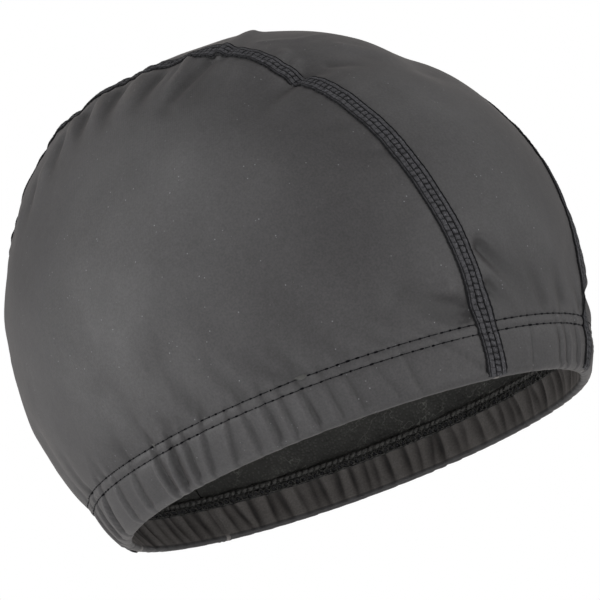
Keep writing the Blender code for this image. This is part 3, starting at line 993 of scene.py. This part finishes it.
def make_seam(name, side, materials):
    """A flat overlocked seam: its quilted body, its threads and its needle holes."""
    rows = seam_frame(side)
    total = rows[3][-1]
    draw = np.random.default_rng(21 if side < 0 else 22)
    builder = Builder()
    ways = np.arange(0.0004, total - 0.0004, SEAM_PITCH / 6)
    way, across = np.meshgrid(ways, sorted(SEAM_COLUMNS), indexing="ij")
    lift = seam_lift(way, across)
    lift[:, [0, -1]] = -0.0004
    grid, _ = on_seam(rows, way, across, lift)
    # The marks follow the cells' rise, so the body's colour gets painted shade in the low lines and painted
    # glints on the cells
    marks = seam_puff(way, across) + 0.35 * soft_noise(grid, 0.0011, 5) + 0.22 * soft_noise(grid, 0.0006, 7)
    builder.add(grid, grid_faces(grid, side < 0), 0, np.clip(marks, 0.0, 1.0))
    beats = SEAM_PITCH * np.arange(1, int(total / SEAM_PITCH) - 2)
    for first, last, run, shift, spread, rise, radius, steps, bow in SEAM_THREADS:
        starts = beats + draw.normal(0, spread, len(beats)) + shift
        share = np.linspace(0.0, 1.0, steps)
        way = starts[:, None] + run * share
        across = first + (last - first) * share + bow * np.sin(math.pi * share) + 0.0 * way
        lift = np.maximum(seam_lift(way, across), 0.00002) + rise
        builder.add_threads(*on_seam(rows, way, across, lift), radius, 4, 1)
    for end in (FORWARD, BACKWARD):
        # Mark 1.5 gives the cover of the turned-in ply the same painted light as that ply
        builder.add(*ply_cover(side, end), 2, 1.5)
    return builder.make(name, materials)


def hem_frame(height, turn):
    """A closed line round the hem at a height, outside or turned inside: points, normals, lengths."""
    length = RIM_LENGTH[0] + RIM_ROUND * np.linspace(0.0, 1.0, 1601)
    azimuth = hem_azimuth(length)
    azimuth[-1] = azimuth[0]
    point, normal = hem_point(level_at(height) + 0.0 * azimuth, azimuth, inner_depth(height), turn)
    return point, normal, length


def on_hem(rows, length, lift):
    """Points above a hem line at arc lengths, and their normals."""
    point, normal = (points_at(once_round(length), rows[2], values) for values in rows[:2])
    return point + normal * np.asarray(lift)[..., None], unit(normal)


def over_seams(height, length):
    """How far the hem stitches are lifted where they cross the seams."""
    total = 0.0 * length
    for end, side in itertools.product((FORWARD, BACKWARD), (-1, 1)):
        _, azimuth = place_low(height, 0.0, end, side)
        gap = np.abs(hem_gap(length, float(hem_length(azimuth))))
        total += np.clip((0.0042 - gap) / 0.0010, 0.0, 1.0)
    return 0.00055 * total


def make_hem_stitches(name, materials):
    """Two rows of needle stitches round the outside of the hem: thread, the needle hole's painted shade, and
    a short pale strand that paints the thread's glint.
    """
    draw = np.random.default_rng(31)
    builder = Builder()
    count = int(round(RIM_ROUND / STITCH_PITCH))
    pitch = RIM_ROUND / count
    for height in STITCH_HEIGHTS:
        rows = hem_frame(height, 0.0)
        starts = RIM_LENGTH[0] + pitch * np.arange(count) + draw.normal(0, 0.00028, count)
        share = np.linspace(0.0, 1.0, 7)
        length = starts[:, None] + pitch * (0.02 + 0.93 * share)
        lift = 0.00010 - 0.00040 * np.abs(2 * share - 1) ** 4 + over_seams(height, length)
        builder.add_threads(*on_hem(rows, length, lift), 0.00017, 5, 0)
        # Needle holes: small near-black blobs that paint the shade in the holes
        share = np.linspace(-1.0, 1.0, 7)
        length = starts[:, None] + draw.uniform(0.00030, 0.00085, (count, 1)) * share
        radius = 0.00033 * np.sqrt(np.clip(1.04 - share**2, 0, 1)) * draw.uniform(0.8, 1.2, (count, 1))
        builder.add_threads(*on_hem(rows, length, 0.00004 + over_seams(height, length)), radius, 6, 1)
        # A short pale strand beside each stitch, a painted glint of the dark thread
        share = np.linspace(-1.0, 1.0, 3)
        length = starts[:, None] + draw.uniform(0.0008, 0.0012, (count, 1)) + 0.00022 * share
        radius = 0.00012 * (1.05 - share**2)
        builder.add_threads(*on_hem(rows, length, 0.00018 + over_seams(height, length)), radius, 4, 2)
    return builder.make(name, materials)


# The band inside the hem: the heights it spans, the drops of its puffs, and its looped threads
BAND_TOP = HEM_HEIGHT - 0.0001
BAND_LOW = HEM_HEIGHT - 0.0053
PUFF_DROPS = (0.0, 0.0005, 0.0016, 0.0022, 0.0054)
PUFF_SHARES = (0.3, 1.0, 0.9, 0.1, 0.0)
LOOPS = (
    # drop below the band's top at the ends and in the middle, shift, length in stitches, radius, material
    (0.0021, 0.0033, 0.00, 1.10, 0.00018, 1),
    (0.0042, 0.0026, 0.35, 1.10, 0.00018, 1),
    (0.0046, 0.0045, 0.10, 0.75, 0.00018, 1),
    (0.0019, 0.0020, 0.50, 0.90, 0.00018, 1),
    (0.0030, 0.0040, 0.70, 0.35, 0.00012, 2),
)


def make_inner_band(name, materials):
    """The cover stitch inside the hem: puffs of the raw edge above, looped threads below."""
    draw = np.random.default_rng(41)
    builder = Builder()
    count = int(round(RIM_ROUND / BAND_PITCH))
    pitch = RIM_ROUND / count
    heights = np.linspace(BAND_TOP, BAND_LOW, 13)
    last = len(heights) - 1
    frames = [hem_frame(height, 180.0) for height in heights]
    lengths = RIM_LENGTH[0] + RIM_ROUND * np.arange(1441) / 1440
    grid, marks = [], []
    for k, height in enumerate(heights):
        drop = BAND_TOP - height
        tooth = np.abs(np.sin(math.pi * (lengths - 0.5 * drop) / pitch)) ** 0.8
        puff = np.interp(drop, PUFF_DROPS, PUFF_SHARES) * tooth
        lift = 0.00025 + 0.00060 * puff - (0.0005 if k in (0, last) else 0.0)
        grid.append(on_hem(frames[k], lengths, lift)[0])
        # The marks follow the puffs, so the band's colour gets painted shade between them at the needle
        # holes, and is paler with painted glints on them
        marks.append(1.1 * puff + 0.28 + 0.35 * soft_noise(grid[-1], 0.0010, 6))
    grid = np.array(grid)
    builder.add(grid, grid_faces(grid), 0, np.clip(marks, 0.0, 1.0))
    share = np.linspace(0.0, 1.0, 7)
    for edge, middle, shift, stitches, radius, kind in LOOPS:
        starts = RIM_LENGTH[0] + pitch * (np.arange(count) + shift) + draw.normal(0, 0.00014, count)
        length = starts[:, None] + pitch * stitches * share
        drop = edge + (middle - edge) * np.sin(math.pi * share) + draw.normal(0, 0.00010, (count, 1))
        lift = 0.00050 + 0.00018 * np.sin(2 * math.pi * share) + 0.0 * length
        path = np.zeros(length.shape + (3,))
        normal = np.zeros_like(path)
        exact = np.clip(drop / (BAND_TOP - BAND_LOW) * last, 0, last - 0.001)
        part = (exact - exact.astype(int))[..., None]
        for k in np.unique(exact.astype(int)):
            chosen = exact.astype(int) == k
            above, below = (on_hem(frames[row], length, lift) for row in (k, k + 1))
            path[chosen] = (above[0] + (below[0] - above[0]) * part)[chosen]
            normal[chosen] = (above[1] + (below[1] - above[1]) * part)[chosen]
        builder.add_threads(path, unit(normal), radius, 4, kind)
    return builder.make(name, materials)


FACE = make_face_cloth()
BACK = make_back_cloth()
DARK_THREAD = make_thread("seam_thread_dark", (0.002, 0.002, 0.003), (0.006, 0.006, 0.008))
BAND_THREAD = make_thread("seam_thread_looped", (0.022, 0.022, 0.021), (0.120, 0.118, 0.112))
LAID_THREAD_AND_GLINT = make_thread("seam_thread_laid_and_glint", (0.040, 0.040, 0.048), (0.085, 0.084, 0.098))
SEAM_BODY = make_seam_body("seam_thread_body", (0.017, 0.017, 0.020), (0.060, 0.059, 0.065))
BAND_BODY = make_seam_body("seam_thread_band", (0.055, 0.055, 0.053), (0.15, 0.147, 0.140))
NEEDLE_HOLE_SHADE = make_needle_hole_shade()

right_panel = make_side_panel("cloth_right_side", -1, (FACE, BACK))
left_panel = make_side_panel("cloth_left_side", 1, (FACE, BACK))
middle_panel = make_middle_panel("cloth_middle", (FACE, BACK))
right_seam = make_seam("threads_right_seam", -1, (SEAM_BODY, DARK_THREAD, FACE))
left_seam = make_seam("threads_left_seam", 1, (SEAM_BODY, DARK_THREAD, FACE))
hem_stitches = make_hem_stitches("threads_hem", (DARK_THREAD, NEEDLE_HOLE_SHADE, LAID_THREAD_AND_GLINT))
inner_band = make_inner_band("threads_hem_inside", (BAND_BODY, BAND_THREAD, LAID_THREAD_AND_GLINT))

for piece in MADE:
    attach(piece, "root")
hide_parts("right_side_panel")
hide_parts("left_side_panel")
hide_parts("middle_panel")
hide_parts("right_seam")
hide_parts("left_seam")
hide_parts("hem_stitch_band")


# Camera, light, floor

CAMERA_AZIMUTH = 37.28
CAMERA_ELEVATION = -12.52
CAMERA_ROLL = 18.27
CAMERA_DISTANCE = 1.2
CAMERA_LENS = 221.26
AIM_HEIGHT = 0.075
AIM_RIGHT = 0.00467
AIM_DOWN = 0.01728

LIGHTS = (
    # azimuth from the right side of the cap, elevation, strength
    (0, 0, 0.30),
    (0, 45, 0.60),
    (315, 0, 1.38),
    (315, 45, 0.47),
    (90, 0, 1.02),
    (135, 0, 0.43),
    (135, 45, 0.34),
    (270, 0, 0.17),
)

LOW_LIGHTS = (
    # azimuth from the right side of the cap, distance, power
    (37, 0.50, 0.26),
    (-10, 0.50, 0.42),
    (85, 0.50, 0.45),
    (-60, 0.22, 0.14),
)
LOW_LIGHT_HEIGHT = -0.42
LOW_LIGHT_SIZE = 0.22
LIGHT_SPREAD = 50
SURROUNDINGS = 0.2
FLOOR_REACH = 6.0
FLOOR_HEIGHT = -0.45


def direction(azimuth, elevation):
    """The direction toward an azimuth, turned from the right side of the cap, and an elevation."""
    turn, rise = math.radians(azimuth), math.radians(elevation)
    return Vector((math.sin(turn) * math.cos(rise), -math.cos(turn) * math.cos(rise), math.sin(rise)))


def make_camera():
    """The camera at the photograph's viewing angle, from below the rim and turned about its own axis."""
    turn, roll = math.radians(CAMERA_AZIMUTH), math.radians(CAMERA_ROLL)
    back = direction(CAMERA_AZIMUTH, CAMERA_ELEVATION)
    level = Vector((math.cos(turn), math.sin(turn), 0))
    rise = back.cross(level)
    right = level * math.cos(roll) - rise * math.sin(roll)
    up = level * math.sin(roll) + rise * math.cos(roll)
    aim = Vector(RIM_ORIGIN) + Vector((0, 0, AIM_HEIGHT)) + right * AIM_RIGHT - up * AIM_DOWN
    data = bpy.data.cameras.new("camera")
    data.sensor_width = 36.0
    data.lens = CAMERA_LENS
    data.clip_start, data.clip_end = 0.05, 50.0
    camera = place_object("camera", data)
    frame_turn = Matrix((right, up, back)).transposed().to_4x4()
    camera.matrix_world = Matrix.Translation(aim + back * CAMERA_DISTANCE) @ frame_turn
    bpy.context.scene.camera = camera


def add_light(name, kind, energy, place, turn):
    data = bpy.data.lights.new(name, kind)
    data.energy = energy
    light = place_object(name, data)
    light.location = place
    light.rotation_mode = "QUATERNION"
    light.rotation_quaternion = turn
    return light


def make_surroundings():
    """White surroundings that light the cap only faintly, so that the lights shape it, and the floor."""
    world = bpy.data.worlds.new("studio")
    world.use_nodes = True
    tree = world.node_tree
    ground = tree.nodes["Background"]
    ground.inputs["Color"].default_value = (1.0, 1.0, 1.0, 1)
    strength = tree.nodes.new("ShaderNodeMath")
    strength.operation = "MAXIMUM"
    strength.inputs[1].default_value = SURROUNDINGS
    seen = tree.nodes.new("ShaderNodeLightPath").outputs["Is Camera Ray"]
    tree.links.new(seen, strength.inputs[0])
    tree.links.new(strength.outputs[0], ground.inputs["Strength"])
    bpy.context.scene.world = world
    bpy.context.scene.view_settings.view_transform = "Standard"

    # Broad, distant lights
    for azimuth, elevation, power in LIGHTS:
        toward = direction(azimuth, elevation)
        turn = toward.to_track_quat("Z", "Y")
        sun = add_light(f"light_{azimuth}_{elevation}", "SUN", power, toward * 1.5, turn)
        sun.data.angle = math.radians(LIGHT_SPREAD)

    # Soft panels of light between the floor and the cap, for the inside of the rim
    for azimuth, distance, power in LOW_LIGHTS:
        place = distance * direction(azimuth, 0) + Vector((0.01, 0, LOW_LIGHT_HEIGHT))
        turn = (Vector((0.01, 0, -0.12)) - place).to_track_quat("-Z", "Y")
        panel = add_light(f"low_light_{azimuth % 360}", "AREA", power, place, turn)
        panel.data.size = LOW_LIGHT_SIZE
        panel.visible_camera = False

    look = Look("floor", (0.8, 0.8, 0.8), Roughness=0.9)
    mesh = bpy.data.meshes.new("floor")
    spots = ((-1, -1), (1, -1), (1, 1), (-1, 1))
    mesh.from_pydata([(FLOOR_REACH * x, FLOOR_REACH * y, FLOOR_HEIGHT) for x, y in spots], [], [(0, 1, 2, 3)])
    mesh.materials.append(look.finish(Base_Color=look.ramp(look.noise(3.0), (0.3, 0.80), (0.7, 0.84))))
    place_object("floor", mesh)


make_camera()
make_surroundings()

bpy.context.view_layer.update()
